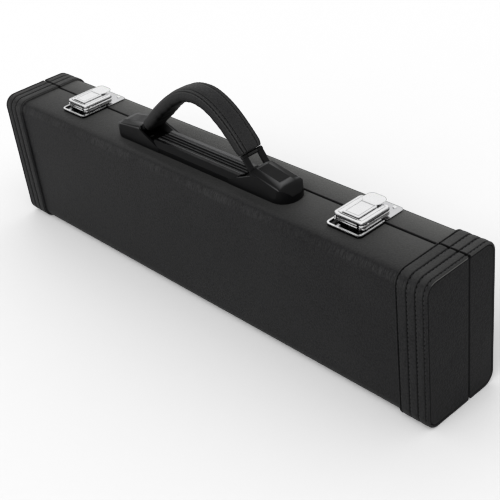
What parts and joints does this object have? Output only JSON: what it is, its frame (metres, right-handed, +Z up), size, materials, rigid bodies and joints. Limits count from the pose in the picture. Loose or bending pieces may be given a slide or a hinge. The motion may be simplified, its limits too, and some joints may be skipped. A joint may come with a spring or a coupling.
{
  "type": "flute case",
  "caption": "Slim hard case for a flute, covered in black leatherette, with an arched padded handle, two snap latches, sewn end wraps and a hinged lid over a fitted lining.",
  "frame": {"origin": "on the ground under the middle of the case, which stands on its hinge side", "axes": "+X along the case, +Y from the deep body towards the lid, +Z up towards the handle"},
  "size_m": [0.42, 0.062, 0.1581],
  "materials": {
    "leatherette": "fine pebbled grain, satin",
    "board": "raw fibreboard",
    "plush": "short pile",
    "chrome": "bright nickel plate",
    "steel": "plain steel",
    "plastic": "moulded, semi-gloss"
  },
  "bodies": {
    "body": {"body_board": "board", "body_cover": "leatherette", "body_wrap_left": "leatherette", "body_wrap_right": "leatherette", "body_end_panel_left": "leatherette", "body_end_panel_right": "leatherette", "body_lining": "plush", "hinge_body_leaf_left": "steel", "hinge_body_leaf_right": "steel", "hinge_pin_left": "steel", "hinge_pin_right": "steel", "hinge_rivet_body_1": "steel", "hinge_rivet_body_2": "steel", "hinge_rivet_body_3": "steel", "hinge_rivet_body_4": "steel", "latch_base_left": "chrome", "latch_base_right": "chrome", "latch_hasp_pin_left": "steel", "latch_hasp_pin_right": "steel", "latch_base_rivet_1": "chrome", "latch_base_rivet_2": "chrome", "latch_base_rivet_3": "chrome", "latch_base_rivet_4": "chrome", "handle_base": "plastic", "handle_rivet_1": "steel", "handle_rivet_2": "steel"},
    "lid": {"lid_board": "board", "lid_cover": "leatherette", "lid_wrap_left": "leatherette", "lid_wrap_right": "leatherette", "lid_end_panel_left": "leatherette", "lid_end_panel_right": "leatherette", "lid_lining": "plush", "hinge_lid_leaf_left": "steel", "hinge_lid_leaf_right": "steel", "hinge_rivet_lid_1": "steel", "hinge_rivet_lid_2": "steel", "hinge_rivet_lid_3": "steel", "hinge_rivet_lid_4": "steel", "latch_keeper_left": "chrome", "latch_keeper_right": "chrome", "latch_keeper_rivet_1": "chrome", "latch_keeper_rivet_2": "chrome", "latch_keeper_rivet_3": "chrome", "latch_keeper_rivet_4": "chrome"},
    "hasp_left": {"latch_hasp_left": "chrome", "latch_lever_pin_left": "steel", "latch_spring_left": "steel"},
    "hasp_right": {"latch_hasp_right": "chrome", "latch_lever_pin_right": "steel", "latch_spring_right": "steel"},
    "lever_left": {"latch_lever_left": "chrome"},
    "lever_right": {"latch_lever_right": "chrome"},
    "handle": {"handle_strap": "leatherette", "handle_core": "steel", "handle_link_left": "plastic", "handle_link_right": "plastic", "handle_link_pin_left": "steel", "handle_link_pin_right": "steel"}
  },
  "joints": [
    {"name": "lid_hinge", "type": "hinge", "parent": "body", "child": "lid", "pos_m": [0, 0.007, 0.0015], "axis": [-1, 0, 0], "range_deg": [0, 105]},
    {"name": "latch_hasp_left", "type": "hinge", "parent": "body", "child": "hasp_left", "pos_m": [-0.1367, -0.009, 0.1067], "axis": [1, 0, 0], "range_deg": [0, 95]},
    {"name": "latch_hasp_right", "type": "hinge", "parent": "body", "child": "hasp_right", "pos_m": [0.1367, -0.009, 0.1067], "axis": [1, 0, 0], "range_deg": [0, 95]},
    {"name": "latch_lever_left", "type": "hinge", "parent": "hasp_left", "child": "lever_left", "pos_m": [-0.1367, -0.0064, 0.1081], "axis": [1, 0, 0], "range_deg": [0, 35], "stiffness_Nm_per_rad": 0.02},
    {"name": "latch_lever_right", "type": "hinge", "parent": "hasp_right", "child": "lever_right", "pos_m": [0.1367, -0.0064, 0.1081], "axis": [1, 0, 0], "range_deg": [0, 35], "stiffness_Nm_per_rad": 0.02},
    {"name": "handle_drop", "type": "slide", "parent": "body", "child": "handle", "axis": [0.5878, 0, -0.809], "range_m": [0, 0.0055]}
  ]
}
